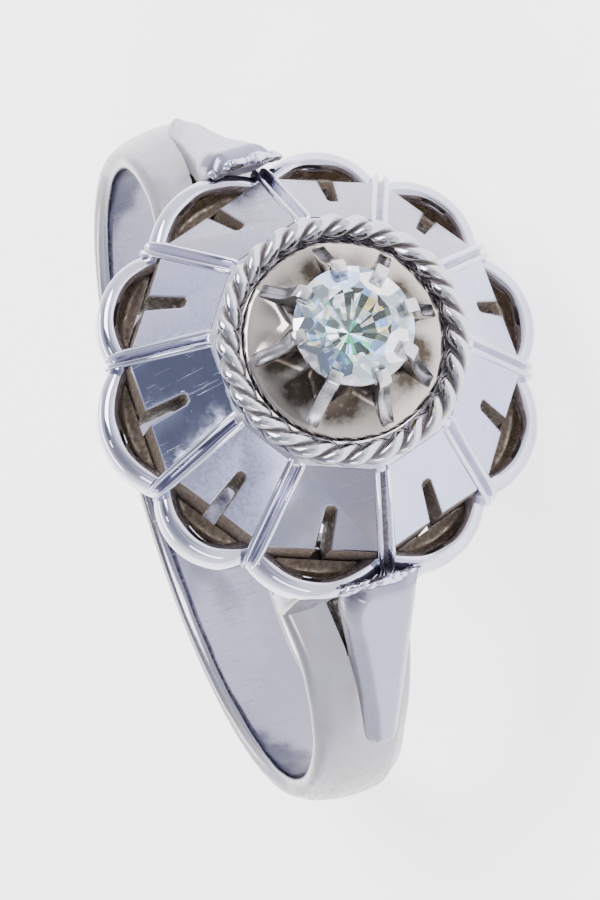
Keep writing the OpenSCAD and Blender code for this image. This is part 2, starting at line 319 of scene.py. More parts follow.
hoop = {
    "boreRadius": 8.6, "crownRadius": 9.5, "domeRadius": 3.2,
    "domeHalf": 1.4,  # the dome falls no further than at this distance from the middle
    "rowRadius": 9,  # the rows' heights are those at this radius
    "armEnd": 65,  # degrees above the horizontal where the arms stop
    "splitAt": 43.9,  # degrees above the horizontal where the slit between the arms starts
    "stepAngle": 1.5, "loopStep": 0.001,
    "insideTo": 8.65,  # radius up to which the finish is that of the inside
    # how much darker the outside is all over, the painted shade that grows lower down, and the radii where
    # both start
    "outsideDarkening": 0.06, "shadeBelow": (0.34, 6, 0), "darkeningFrom": (8.7, 9.0),
}
slit = {
    "slant": 0.14,  # how far it moves towards -Y on its way through the band
    "wallCuts": 3, "rimBevel": 0.04, "rimSegments": 3,
    "sharp": 0.9,  # radians from which an edge is one of its rims
    # painted shade in the slit: the heights and the depths below the dome over which it grows
    "shadeHeights": (5.9, 6.3), "shadeDepths": (0, 0.03),
    "shadeRadii": (8.65, 8.7),  # the painted shade keeps off the bore
    "shade": (0.9, 0.4),  # the leaf's shade to the right of the slit, from its end to its full depth
    "margin": 0.02, "overlap": 0.05,
}
shoulderRows = [
    # height, half width to the left and right, and the slit's left and right edge
    (-9.0, 1.40, 1.44, -0.70, -0.45),
    (-8.5, 1.40, 1.30, -0.70, -0.45),
    (-8.0, 1.40, 1.24, -0.70, -0.45),
    (-3.5, 1.42, 1.24, -0.70, -0.45),
    (0.0, 1.45, 1.14, -0.70, -0.45),
    (3.0, 1.56, 1.00, -0.70, -0.45),
    (4.6, 1.70, 1.08, -0.70, -0.45),
    (6.0, 1.88, 1.15, -0.70, -0.60),
    (6.4, 1.97, 1.18, -0.74, -0.64),
    (6.8, 2.09, 1.22, -0.88, -0.76),
    (7.2, 2.24, 1.26, -1.02, -0.88),
    (7.6, 2.42, 1.30, -1.16, -1.01),
    (8.2, 2.62, 1.36, -1.32, -1.15),
]
roundedEdge = [
    # radius, and distance in from the band's edge
    (8.6, 0.42), (8.605, 0.3), (8.63, 0.17), (8.69, 0.07), (8.78, 0.02), (8.9, 0.0), (9.02, 0.01),
    (9.1, 0.05), (9.17, 0.13), (9.23, 0.24),
]
slitColumns = (-0.5, -0.31)
columnPlaces = [-0.7, *slitColumns, -0.15, 0.05, 0.3, 0.6]


def hoopSection():
    # radius (none where the dome gives it), place across from -1 to 1, and distance in from the edge
    left = [(radius, -1, inset) for radius, inset in roundedEdge]
    right = [(radius, 1, inset) for radius, inset in reversed(roundedEdge)]
    outside = [(None, place, 0) for place in columnPlaces]
    inside = [(hoop["boreRadius"], place, 0) for place in reversed(columnPlaces)]
    return left + outside + right + inside


def acrossBand(place, height):
    left, right, slitLeft, slitRight = [fromRows(shoulderRows, height, column) for column in (1, 2, 3, 4)]
    marks = [(-1, -left), (slitColumns[0], slitLeft), (slitColumns[1], slitRight), (1, right)]
    return fromRows(marks, place, 1)


def domeHeight(y):
    dome = hoop["domeRadius"]
    return hoop["crownRadius"] - dome + math.sqrt(dome ** 2 - min(abs(y), hoop["domeHalf"]) ** 2)


def slitPaintedShade(co):
    # painted shade inside the slit, and painted shadow of the leaf to its right
    radius = co.xz.length
    height = co.z * hoop["rowRadius"] / radius
    left = fromRows(shoulderRows, height, 3) - slit["slant"] - slit["margin"]
    past = co.y - fromRows(shoulderRows, height, 4)
    if co.y < left or past > slit["shade"][0]:
        return 0
    inside = smoothStep(*slit["shadeDepths"], domeHeight(co.y) - radius) if past < slit["margin"] else 0
    shaded = smoothStep(*slit["shade"], past) if past > -slit["overlap"] else 0
    started = smoothStep(*slit["shadeHeights"], height) * smoothStep(*slit["shadeRadii"], radius)
    return started * max(inside, shaded)


def bandDarkeningAndShade(co):
    # the outside is a little darker all over, and painted shade makes it darker lower down
    return (hoop["outsideDarkening"] + fade(*hoop["shadeBelow"], co.z)) * smoothStep(*hoop["darkeningFrom"], co.xz.length)


def shapeBand(bm, section, column):
    for v in bm.verts:
        angle = math.atan2(v.co.z, v.co.x)
        radius, place, inset = section[v[column]]
        y = acrossBand(place, hoop["rowRadius"] * math.sin(angle)) - math.copysign(inset, place)
        if radius is None:
            radius = domeHeight(y)
        elif place in slitColumns:
            y -= slit["slant"]
        v.co = (radius * math.cos(angle), y, radius * math.sin(angle))


def openSlit(bm, section, column):
    # opens a strip outside and one inside, and joins their edges by walls
    strips = []
    for outer in (True, False):
        strips.append({i for i, (radius, place, inset) in enumerate(section)
                       if (radius is None) == outer and place in slitColumns})

    def columnsOf(item):
        return {v[column] for v in item.verts}

    def lowestAngle(face):
        return min(math.degrees(math.asin(v.co.z / v.co.xz.length)) for v in face.verts)

    opened = [f for f in bm.faces if columnsOf(f) in strips and lowestAngle(f) > hoop["splitAt"]]
    bmesh.ops.delete(bm, geom=opened, context="FACES")
    for side in (-1, 1):
        rims = [e for e in bm.edges if e.is_boundary and e.verts[0].co.x * side > 0
                and any(columnsOf(e) <= strip for strip in strips)]
        walls = bmesh.ops.bridge_loops(bm, edges=rims)
        bmesh.ops.subdivide_edges(bm, edges=walls["edges"], cuts=slit["wallCuts"])
    closeHoles(bm)
    outerRims = [e for e in bm.edges if len(e.link_faces) == 2 and e.calc_face_angle() > slit["sharp"]
                 and columnsOf(e) <= strips[0]]
    bevelEdges(bm, outerRims, slit["rimBevel"], slit["rimSegments"])


def addHoop():
    bm = blankMesh()
    section = hoopSection()
    column = bm.verts.layers.int.new("column")
    # a thin loop is spun first, and shapeBand then moves each of its columns to its own place
    verts, edges = closedPath(bm, [(hoop["rowRadius"], hoop["loopStep"] * i, 0) for i in range(len(section))])
    for i, v in enumerate(verts):
        v[column] = i
    sweep = 180 + 2 * hoop["armEnd"]
    start = 180 - hoop["armEnd"]
    bmesh.ops.rotate(bm, verts=verts, cent=origin, matrix=Matrix.Rotation(math.radians(-start), 3, "Y"))
    bmesh.ops.spin(bm, geom=verts + edges, cent=origin, axis=(0, -1, 0), dvec=origin,
                   angle=math.radians(sweep), steps=round(sweep / hoop["stepAngle"]),
                   use_merge=False, use_duplicate=False)
    shapeBand(bm, section, column)
    openSlit(bm, section, column)
    markTarnishAndShade(bm, bm.verts, slitPaintedShade)
    markTarnishAndShade(bm, bm.verts, bandDarkeningAndShade)
    for face in bm.faces:
        face.material_index = 1 if face.calc_center_median().xz.length < hoop["insideTo"] else 0
    addPiece("hoop", bm, [gold["polishedBand"], gold["wornInside"]], "mount", 50)


foot = {"low": 7.4, "high": 9.8, "bevel": 0.15, "bevelSegments": 3}
footPlaces = [(4.25, -2.4, 5.45, -1.3), (4.25, 0.4, 5.6, 1.3)]  # low and high corner in plan


def addFeet():
    bm = blankMesh()
    for x1, y1, x2, y2 in footPlaces:
        for side in (1, -1):
            block = bmesh.ops.create_cube(bm, size=1)["verts"]
            bmesh.ops.scale(bm, vec=(x2 - x1, y2 - y1, foot["high"] - foot["low"]), verts=block)
            middle = (side * (x1 + x2) / 2, (y1 + y2) / 2, (foot["low"] + foot["high"]) / 2)
            bmesh.ops.translate(bm, vec=middle, verts=block)
    bevelEdges(bm, list(bm.edges), foot["bevel"], foot["bevelSegments"])
    addPiece("feet", bm, [gold["polishedBand"]], "mount", 50)


addHoop()
addFeet()
print("hoop done")

# leaf bars, each a flat tongue with broad rounded edges

leaf = {
    "at": 22.3, "rise": 0.32, "steps": 56, "columns": 26,
    "edge": 0.45, "drop": 0.4,  # width of the rounded edge, and how far it falls
    "tipSlope": 2,  # the edge is this many times narrower at the tip
    # how much darker the rounded edge is, and the painted shade low on the sides where the leaf meets the
    # band: amounts, and the depths where each starts and is full
    "edgeDarkening": (0.12, -0.01, -0.1), "sideShade": (0.4, -0.38, -0.5),
}
leafThickness = [(6.0, 1.0), (7.9, 0.5)]  # distance from the root, and thickness
leafRows = [
    # distance from the root, width towards -Y, and width towards +Y of the near and the far leaf
    (0.0, 0.1, 0.3, 0.02),
    (0.07, 0.24, 0.46, 0.05),
    (0.25, 0.35, 0.56, 0.08),
    (0.5, 0.4, 0.6, 0.1),
    (1.0, 0.43, 0.61, 0.12),
    (2.4, 0.57, 0.64, 0.15),
    (4.2, 0.84, 0.66, 0.18),
    (5.6, 1.07, 0.68, 0.28),
    (6.6, 1.27, 0.7, 0.42),
    (7.1, 1.31, 0.7, 0.46),
    (7.55, 1.22, 0.71, 0.5),
    (7.85, 1.04, 0.72, 0.52),
]


def leafDrop(distance):
    # how far the rounded edge lies below the leaf's face
    return leaf["drop"] * max(0, 1 - distance / leaf["edge"]) ** 2


def leafDarkeningAndShade(co):
    # slightly darker on the rounded edge, and painted shade low on the sides where the leaf meets the band
    return fade(*leaf["edgeDarkening"], co.x) + fade(*leaf["sideShade"], co.x)


def addLeaf(name, flip):
    bm = blankMesh()
    bmesh.ops.create_grid(bm, x_segments=leaf["columns"], y_segments=leaf["steps"], size=0.5)
    root = leafRows[0][0]
    tip = leafRows[-1][0]
    wideColumn = 2 if flip > 0 else 3
    for v in bm.verts:
        along = root + (tip - root) * (v.co.y + 0.5)
        side = v.co.x * 2
        width = fromRows(leafRows, along, 1 if side < 0 else wideColumn)
        margin = min(width * (1 - abs(side)), along - root, (tip - along) * leaf["tipSlope"])
        v.co = (-leafDrop(margin), side * width, along)
    for v in extrude(bm, list(bm.faces), False):
        v.co.x = -fromRows(leafThickness, v.co.z, 1)
    faceOut(bm)
    markTarnishAndShade(bm, bm.verts, leafDarkeningAndShade)
    place = (Matrix.Rotation(math.radians(-leaf["at"]), 4, "Y")
             @ Matrix.Translation((hoop["crownRadius"] + leaf["rise"], 0, 0)))
    bmesh.ops.transform(bm, matrix=place, verts=bm.verts)
    if flip < 0:
        bmesh.ops.scale(bm, vec=(-1, 1, 1), verts=bm.verts)
        faceOut(bm)
    addPiece(name, bm, [gold["satinLeaf"]], "mount", 60)


solder = {
    "beads": 13, "from": -1.2, "to": 0.72, "farShare": 0.85, "fineness": 3,
    "out": 5.68, "bow": 0.08,  # distance from the axis, and how much further out the middle bead is
    "height": 10.86, "droop": 0.28,  # height of the middle bead, and how much lower the last ones are
    "radius": 0.13, "smallest": 0.75, "sizeSpread": 0.5,
    "length": 1.3, "lengthSpread": 0.5, "flatness": 0.8,
    "lump": 0.35, "lumpScale": 7, "lumpStep": 3.1,
    "outScatter": 0.05, "heightScatter": 0.08,
}


def addBead(bm, i, side):
    t = i / (solder["beads"] - 1)
    arch = 1 - (2 * t - 1) ** 2
    lot = noise.cell_vector(Vector((i + 0.5, side + 0.5, 0.5)))
    size = solder["radius"] * (solder["smallest"] + solder["sizeSpread"] * abs(lot.x))
    bead = bmesh.ops.create_icosphere(bm, subdivisions=solder["fineness"], radius=size)["verts"]
    for v in bead:
        spot = v.co * solder["lumpScale"] + Vector((i * solder["lumpStep"], side, 0))
        v.co *= 1 + solder["lump"] * noise.noise(spot)
    length = solder["length"] + solder["lengthSpread"] * lot.y
    bmesh.ops.scale(bm, vec=(1, length, solder["flatness"]), verts=bead)
    out = solder["out"] + solder["bow"] * arch + solder["outScatter"] * lot.z
    y = (solder["from"] + (solder["to"] - solder["from"]) * t) * (1 if side > 0 else solder["farShare"])
    height = solder["height"] - solder["droop"] * (1 - arch) + solder["heightScatter"] * lot.y
    bmesh.ops.translate(bm, vec=(side * out, y, height), verts=bead)


def addSolder():
    bm = blankMesh()
    for side in (1, -1):
        for i in range(solder["beads"]):
            addBead(bm, i, side)
    addPiece("solder", bm, [gold["brightRim"]], "mount", 80)


addLeaf("leafNear", 1)
addLeaf("leafFar", -1)
addSolder()
print("leaves done")

# flower crown

crown = {
    "rimRadius": 5.35, "rimHeight": 10.9,  # outer ends of the channels
    "neckRadius": 3.4, "neckHeight": 13.5,  # inner ends of the channels
    "lobeRadius": 5.93,
    "channelWidth": 0.29,
    "seatHeight": 13.42, "seatCorner": 3.46,  # the flat seat ends where the plates reach its height
}
channelAngles = [0, 36, 74, 110, 145, 179, 218, 252, 290, 322]
petals = []
for first, second in zip(channelAngles, channelAngles[1:] + [360]):
    petals.append({"mid": (first + second) / 2, "half": math.radians((second - first) / 2)})
steepness = (crown["neckHeight"] - crown["rimHeight"]) / (crown["rimRadius"] - crown["neckRadius"])


def faceHeight(x, half):
    # height of a petal's face at this distance out from the axis
    return crown["rimHeight"] + (crown["rimRadius"] * math.cos(half) - x) * steepness / math.cos(half)


plate = {
    "thickness": 1.95, "bevel": 0.07, "bevelSegments": 4,
    "edge": 4.88,  # distance from the axis of the straight outer edge
    "innerGap": 0.04, "channelGap": 0.02,
    "slotEnd": 4.0, "slotWidth": 0.27,
    "shadeDepths": (0.02, 0.06),  # depths below the face between which painted shade darkens the cut walls
    "outerStrip": 0.09, "slotStrip": 0.25, "slotReach": 0.1,  # how near the cuts their walls are looked for
    "cornerReach": 0.15, "steep": 0.2,
}
# along the slot from its mouth to its end: distance past its end, and half width as a share of its width
slotShape = [(plate["edge"] - plate["slotEnd"], 0.72), (0.06, 0.5), (0, 0.3)]
petalFinishes = {4: "shadedGreyPetal", 5: "shadedGreyPetal", 6: "shadedGreyPetal", 8: "scratchedPetal", 10: "shadedBrushedPetal"}
plateFinishes = ["satinPetal", "scratchedPetal", "shadedBrushedPetal", "tarnishedScoop", "shadedGreyPetal"]
# how dark the painted shade in the brushed petal's corners is, the inner ones first and last
brushedShade = [0.15, 0, 0.3, 0.35]


def plateOutline(half):
    inner = crown["seatCorner"] * math.cos(half) - plate["innerGap"]
    margin = (crown["channelWidth"] / 2 + plate["channelGap"]) / math.cos(half)
    outline = [(x, x * math.tan(half) - margin) for x in (inner, plate["edge"])]
    outline += [(plate["slotEnd"] + past, plate["slotWidth"] * share) for past, share in slotShape]
    return outline + [(x, -y) for x, y in reversed(outline)]


def isPierced(co):
    # on the plate's outer edge or beside its slot
    inSlot = abs(co.y) < plate["slotStrip"] and co.x > plate["slotEnd"] - plate["slotReach"]
    return co.x > plate["edge"] - plate["outerStrip"] or inSlot


def addPlate(bm, petal, finish):
    half = petal["half"]
    outline = plateOutline(half)
    vertsBefore = set(bm.verts)
    facesBefore = set(bm.faces)
    face = bm.faces.new([bm.verts.new((x, y, faceHeight(x, half))) for x, y in outline])
    bmesh.ops.translate(bm, verts=extrude(bm, [face]), vec=(0, 0, -plate["thickness"]))
    bevelEdges(bm, list(face.edges), plate["bevel"], plate["bevelSegments"])
    bm.normal_update()
    mine = newSince(bm, vertsBefore)
    pierced = {v for v in mine if isPierced(v.co)}
    # painted shade deepening down the cut walls
    markTarnishAndShade(bm, pierced, lambda co: smoothStep(*plate["shadeDepths"], faceHeight(co.x, half) - co.z))
    if finish == "shadedBrushedPetal":
        # painted shade in the brushed petal's corners
        for corner, shade in zip((outline[-1], outline[-2], outline[1], outline[0]), brushedShade):
            near = [v for v in mine if (v.co.xy - Vector(corner)).length < plate["cornerReach"]]
            markTarnishAndShade(bm, near, lambda co: shade)
    for f in [f for f in bm.faces if f not in facesBefore]:
        isWall = abs(f.normal.z) < plate["steep"] and all(v in pierced for v in f.verts)
        f.material_index = plateFinishes.index("tarnishedScoop" if isWall else finish)
    turnPart(bm, mine, petal["mid"])


def addPlates():
    bm = blankMesh()
    for k, petal in enumerate(petals):
        addPlate(bm, petal, petalFinishes.get(k + 1, "satinPetal"))
    faceOut(bm)
    addPiece("plates", bm, [gold[name] for name in plateFinishes], "mount", 12)


channelShadeAmounts = [0.7, 0.15, 0.1, 0.2, 0.3, 0.2, 0.1, 0.05, 0.05, 0.2]  # how dark the painted shade on each channel's floor is
channelFloor = {"across": (0.125, 0.025), "depths": (0.04, 0.14), "height": -0.17}
channelPath = [
    # radius and height of the channel's raised edges, from the rope down over the rim
    (3.33, 13.45), (3.45, 13.42), (4.4, 12.167), (5.15, 11.167), (5.36, 10.86), (5.5, 10.62), (5.56, 10.4),
    (5.55, 10.15),
]
channelEdge = [
    # distance outside the channel, and height above its raised edges
    (0.1, -0.5), (0.1, -0.06), (0.08, -0.01), (0.04, 0.02), (0, 0.03), (-0.04, 0.01), (-0.07, -0.04),
    (-0.1, -0.12),
]
channelNarrowing = [(5.2, 1), (5.58, 0.72)]  # radius, and share of the width


def channelRing(bm, section, i):
    # the section where the path has its point i, square to the path there
    radius, height = channelPath[i]
    ahead = channelPath[min(i + 1, len(channelPath) - 1)]
    behind = channelPath[max(i - 1, 0)]
    along = Vector((ahead[0] - behind[0], 0, ahead[1] - behind[1])).normalized()
    up = Vector((-along.z, 0, along.x))
    share = fromRows(channelNarrowing, radius, 1)
    points = [Vector((radius, y * share, height)) + up * z for y, z in section]
    return closedPath(bm, points)[1]


def channelPaintedShade(co, stainAndShade):
    # painted shade on the floor, between the raised edges
    depth = crown["neckHeight"] - co.z - (co.x - crown["neckRadius"]) * steepness
    return stainAndShade * smoothStep(*channelFloor["across"], abs(co.y)) * smoothStep(*channelFloor["depths"], depth)


def addChannels():
    bm = blankMesh()
    section = [(-crown["channelWidth"] / 2 - out, z) for out, z in channelEdge]
    section += [(0, channelFloor["height"])] + [(-y, z) for y, z in reversed(section)]
    for turn, stainAndShade in zip(channelAngles, channelShadeAmounts):
        before = set(bm.verts)
        rings = [channelRing(bm, section, i) for i in range(len(channelPath))]
        for first, second in zip(rings, rings[1:]):
            bmesh.ops.bridge_loops(bm, edges=first + second)
        mine = newSince(bm, before)
        markTarnishAndShade(bm, mine, lambda co: channelPaintedShade(co, stainAndShade))
        turnPart(bm, mine, turn)
    closeHoles(bm)
    addPiece("channels", bm, [gold["brightRim"]], "mount", 35)


lobe = {
    "steps": 36,
    "past": 6,  # degrees by which a lip runs into the next channel
    # the lip's inner edge is wavy, as it was cut by hand
    "wave": 0.05, "waveScale": 1.3, "waveStep": 3.1, "waveFrom": (-0.25, -0.5),
}
lipSection = [
    # distance from the lobe's arc, and height
    (-0.48, 9.35), (-0.5, 9.9), (-0.53, 10.15), (-0.52, 10.3), (-0.48, 10.41), (-0.4, 10.48), (-0.3, 10.515),
    (-0.2, 10.5), (-0.11, 10.44), (-0.04, 10.34), (0.0, 10.2), (0.01, 10.05), (-0.01, 9.75), (-0.03, 9.4),
    (-0.07, 9.22), (-0.14, 9.12), (-0.24, 9.1), (-0.35, 9.16),
]


def lobeArc(petal):
    # radius and middle of the lobe's arc
    side = crown["rimRadius"] * math.sin(petal["half"])
    rise = crown["lobeRadius"] - crown["rimRadius"] * math.cos(petal["half"])
    radius = (side * side + rise * rise) / (2 * rise)
    return radius, Vector((crown["lobeRadius"] - radius, 0, 0))


def addLips():
    bm = blankMesh()
    for k, petal in enumerate(petals):
        radius, middle = lobeArc(petal)
        side = crown["rimRadius"] * math.sin(petal["half"])
        reach = math.degrees(math.asin(side / radius)) + lobe["past"]
        before = set(bm.verts)
        points = [middle + Vector((radius + out, 0, z)) for out, z in lipSection]
        spinProfile(bm, points, lobe["steps"], middle, -reach, 2 * reach)
        mine = newSince(bm, before)
        for v in mine:
            arm = v.co.xy - middle.xy
            inward = smoothStep(*lobe["waveFrom"], arm.length - radius)
            wave = noise.noise(Vector((*(v.co.xy * lobe["waveScale"]), k * lobe["waveStep"])))
            v.co.x, v.co.y = middle.xy + arm * (1 + lobe["wave"] * wave * inward)
        turnPart(bm, mine, petal["mid"])
    closeHoles(bm)
    addPiece("lips", bm, [gold["brightRim"]], "mount", 50)


scoop = {
    "along": 30, "across": 10,
    "edge": 4.94, "edgeHeight": 10.22, "edgeGap": 0.03,  # where the floor meets the plate
    "lipInset": 0.48, "lipHeight": 10.38,  # where it meets the lip
    "narrowing": 0.04, "bottom": 9.3,
    "sag": 0.4, "sagSlope": 1.6, "sagSkew": 0.8,
    "lump": 0.05, "lumpTurn": 4, "lumpAcross": 2, "lumpStep": 5.3,
    # tarnish all over, and painted shade beside the plate: its amount, and the distances out from the plate's
    # edge where it is gone and where it is full
    "tarnishAndShade": 0.2, "plateShade": (0.75, 0.45, 0.1),
}


def scoopTarnishAndShade(co):
    # tarnished all over, with painted shade darkest where the floor meets the plate
    return scoop["tarnishAndShade"] + fade(*scoop["plateShade"], co.x - scoop["edge"])


def bendScoop(sheet, radius, middle, k):
    # a flat sheet becomes the lobe's hollow floor, from the lip in to the plate's straight edge
    inner = radius - scoop["lipInset"]
    reach = math.acos((scoop["edge"] + scoop["edgeGap"] - middle.x) / inner)
    for v in sheet:
        turn = v.co.x * 2 * reach
        t = v.co.y + 0.5
        lipPoint = middle + inner * Vector((math.cos(turn), math.sin(turn), 0))
        depth = lipPoint.x - scoop["edge"]
        lumpAt = Vector((turn * scoop["lumpTurn"], t * scoop["lumpAcross"], k * scoop["lumpStep"]))
        sag = scoop["sag"] * min(1, depth * scoop["sagSlope"]) * math.sin(math.pi * t ** scoop["sagSkew"])
        level = scoop["lipHeight"] + (scoop["edgeHeight"] - scoop["lipHeight"]) * t
        v.co = (lipPoint.x - depth * t, lipPoint.y * (1 - scoop["narrowing"] * t),
                level - sag + scoop["lump"] * noise.noise(lumpAt))


def addScoops():
    bm = blankMesh()
    for k, petal in enumerate(petals):
        radius, middle = lobeArc(petal)
        before = set(bm.verts)
        facesBefore = set(bm.faces)
        bmesh.ops.create_grid(bm, x_segments=scoop["along"], y_segments=scoop["across"], size=0.5)
        bendScoop(newSince(bm, before), radius, middle, k)
        faces = [f for f in bm.faces if f not in facesBefore]
        bmesh.ops.recalc_face_normals(bm, faces=faces)
        for v in extrude(bm, faces):
            v.co.z = scoop["bottom"]
        mine = newSince(bm, before)
        markTarnishAndShade(bm, mine, scoopTarnishAndShade)
        turnPart(bm, mine, petal["mid"])
    faceOut(bm)
    addPiece("scoops", bm, [gold["tarnishedScoop"]], "mount", 60)


# painted shade on the seat's inner part, under the rope: amount, and the radii where it is gone and where it
# is full
seat = {"steps": 120, "roundTo": 3, "tarnishAndShade": (0.6, 3.2, 2.9)}
seatSection = [
    # radius, and depth below the seat's face
    (2.62, 0.4), (2.62, 0.02), (2.64, 0), (2.9, 0), (3.4, 0), (3.44, 0.02), (3.46, 0.06), (3.46, 0.4),
]


def tenSidedShare(x, y):
    # how much nearer to the axis a ten-sided ring lies than a round one through its corners
    angle = math.degrees(math.atan2(y, x)) % 360
    for first, petal in zip(channelAngles, petals):
        turn = (angle - first) % 360
        if turn <= math.degrees(2 * petal["half"]):
            return math.cos(petal["half"]) / math.cos(math.radians(turn) - petal["half"])
    return 1


def addSeat():
    bm = blankMesh()
    spinProfile(bm, [(r, 0, crown["seatHeight"] - depth) for r, depth in seatSection], seat["steps"])
    for v in bm.verts:
        # the seat's outer side is ten-sided, as the plates meet it
        if v.co.xy.length > seat["roundTo"]:
            share = tenSidedShare(v.co.x, v.co.y)
            v.co.x *= share
            v.co.y *= share
    faceOut(bm)
    markTarnishAndShade(bm, bm.verts, lambda co: fade(*seat["tarnishAndShade"], co.xy.length))
    addPiece("seat", bm, [gold["brightRim"]], "mount", 40)


addPlates()
addChannels()
addLips()
addScoops()
addSeat()
print("crown done")

# rope collar

rope = {
    "radius": 2.98, "height": 13.79, "strand": 0.178, "offset": 0.145, "twists": 14, "pointsPerTwist": 26,
    "roundness": 6,
    "uneven": 0.7, "unevenScale": 3,  # how far the twist runs ahead and behind, in radians
    "tarnishAndShade": (0.75, 0.27, 0.18),  # painted shade near the line between the strands, in the creases
}


def ropePoint(share, strand):
    # a point of one strand's middle line, at this share of the way round
    around = math.radians(360 * share)
    lead = noise.noise(Vector((math.cos(around), math.sin(around), 0)) * rope["unevenScale"]) * rope["uneven"]
    twist = math.radians(360 * rope["twists"] * share + strand) + lead
    r = rope["radius"] + rope["offset"] * math.cos(twist)
    z = rope["height"] + rope["offset"] * math.sin(twist)
    return (r * math.cos(around), r * math.sin(around), z, 1)


def ropeCreaseShade(co):
    # painted shade in the creases between the strands
    return fade(*rope["tarnishAndShade"], math.hypot(co.xy.length - rope["radius"], co.z - rope["height"]))


def addRope():
    count = rope["twists"] * rope["pointsPerTwist"]
    curve = bpy.data.curves.new("rope", "CURVE")
    curve.dimensions = "3D"
    curve.bevel_depth = rope["strand"]
    curve.bevel_resolution = rope["roundness"]
    for strand in (0, 180):
        spline = curve.splines.new("POLY")
        spline.points.add(count - 1)
        spline.use_cyclic_u = True
        for i, point in enumerate(spline.points):
            point.co = ropePoint(i / count, strand)
    drawn = addObject("ropeCurve", curve)
    tube = drawn.evaluated_get(bpy.context.evaluated_depsgraph_get()).to_mesh()
    bm = bmesh.new()
    bm.from_mesh(tube)
    bm.verts.layers.float.new("tarnishAndShade")
    bpy.data.objects.remove(drawn)
    bpy.data.curves.remove(curve)
    markTarnishAndShade(bm, bm.verts, ropeCreaseShade)
    addPiece("rope", bm, [gold["brightRope"]], "rope_collar", 80)


addRope()
print("rope done")

# claw cup

cup = {
    "steps": 320,
    "flute": 0.5, "fluteHeights": (13.72, 14.2), "fluteShape": 1.7, "fluteRadius": 1.3,
    "insideShade": (0.95, 1.3, 1.15),  # painted shade inside the cup, under the stone: amount, and the radii between which it grows
    "stoneShade": (14.3, 14.75), "shadeDeep": (0.1, 0.6),
    # patches of painted shade down the flutes
    "patches": 0.8, "patchSpread": 1.4, "patchScale": 3.5, "patchRise": 0.8,
    "patchHeights": (13.84, 14.03), "patchDeep": (0, 0.5),
}
clawAngles = [9, 47, 92, 136, 178, 223, 268, 321]
flutePaintedShade = [1.1, 1.0, 0.9, 0.8, 0.9, 0.8, 1.3, 1.3]  # how dark the painted shade in each flute is, in the claws' order
cupProfile = [
    # radius and height, from the foot up the outside, over the rim and down the inside
    (2.5, 12.6), (2.55, 12.7), (2.55, 13.3), (2.6, 13.55), (2.625, 13.76), (2.61, 13.83), (2.56, 13.87),
    (2.48, 13.9), (2.4, 13.94), (2.3, 14.0), (2.2, 14.07), (2.1, 14.15), (2.01, 14.24), (1.93, 14.34),
    (1.84, 14.47), (1.76, 14.6), (1.69, 14.73), (1.62, 14.85), (1.54, 14.97), (1.46, 14.98), (1.36, 14.9),
    (1.2, 14.72), (1.02, 14.5), (1.0, 13.6), (1.0, 12.6),
]


def fluteAt(angle):
    # which flute lies at this angle, and how deep it is there between 0 and 1
    for k, (first, second) in enumerate(zip(clawAngles, clawAngles[1:] + [clawAngles[0] + 360])):
        turn = (angle - first) % 360
        if turn <= second - first:
            return k, 1 - abs(turn / (second - first) * 2 - 1) ** cup["fluteShape"]
    return 0, 0


def cupPaintedShade(co):
    # painted shade inside, under the stone and in patches down the flutes
    turn = math.atan2(co.y, co.x)
    k, deep = fluteAt(math.degrees(turn) % 360)
    inside = fade(*cup["insideShade"], co.xy.length)
    underStone = smoothStep(*cup["stoneShade"], co.z) * smoothStep(*cup["shadeDeep"], deep)
    across = cup["patchScale"]
    spot = Vector((math.cos(turn) * across, math.sin(turn) * across, co.z * cup["patchRise"]))
    patches = cup["patches"] + cup["patchSpread"] * noise.noise(spot)
    inFlute = smoothStep(*cup["patchHeights"], co.z) * smoothStep(*cup["patchDeep"], deep)
    return min(max(inside, underStone, flutePaintedShade[k] * patches * inFlute), 1)


def addCup():
    bm = blankMesh()
    spinProfile(bm, [(r, 0, z) for r, z in cupProfile], cup["steps"])
    markTarnishAndShade(bm, bm.verts, cupPaintedShade)
    for v in bm.verts:
        # the flutes press in the wall between the claws
        flat = v.co.xy
        if flat.length > cup["fluteRadius"]:
            angle = math.degrees(math.atan2(flat.y, flat.x)) % 360
            depth = fluteAt(angle)[1] * cup["flute"] * smoothStep(*cup["fluteHeights"], v.co.z)
            v.co.x, v.co.y = flat * (1 - depth / flat.length)
    faceOut(bm)
    addPiece("cup", bm, [gold["brightCup"]], "claw_cup", 50)


# painted shade low on the claws, where they go in behind the rope: amount, and the heights where it is gone
# and where it is full
claw = {"width": 0.37, "bevel": 0.05, "bevelSegments": 2, "tarnishAndShade": (0.8, 14.0, 13.8)}
clawOutline = [
    # radius and height, up the outside, round the tip over the stone and down behind the stone
    (1.3, 13.4), (2.45, 13.4), (2.54, 13.8), (2.28, 14.12), (1.95, 14.57), (1.8, 15.0), (1.74, 15.33),
    (1.68, 15.48), (1.56, 15.57), (1.36, 15.58), (1.32, 15.47), (1.57, 15.3), (1.58, 15.12), (1.4, 14.92),
]


def addClaws():
    bm = blankMesh()
    for turn in clawAngles:
        before = set(bm.verts)
        face = bm.faces.new([bm.verts.new((r, claw["width"] / 2, z)) for r, z in clawOutline])
        bmesh.ops.translate(bm, verts=extrude(bm, [face]), vec=(0, -claw["width"], 0))
        outlines = [e for e in bm.edges if e.verts[0] not in before
                    and abs(e.verts[0].co.y - e.verts[1].co.y) < claw["width"] / 2]
        bevelEdges(bm, outlines, claw["bevel"], claw["bevelSegments"])
        turnPart(bm, newSince(bm, before), turn)
    faceOut(bm)
    markTarnishAndShade(bm, bm.verts, lambda co: fade(*claw["tarnishAndShade"], co.z))
    addPiece("claws", bm, [gold["polishedClaw"]], "claw_cup", 35)


addCup()
addClaws()
print("cup done")

# brilliant

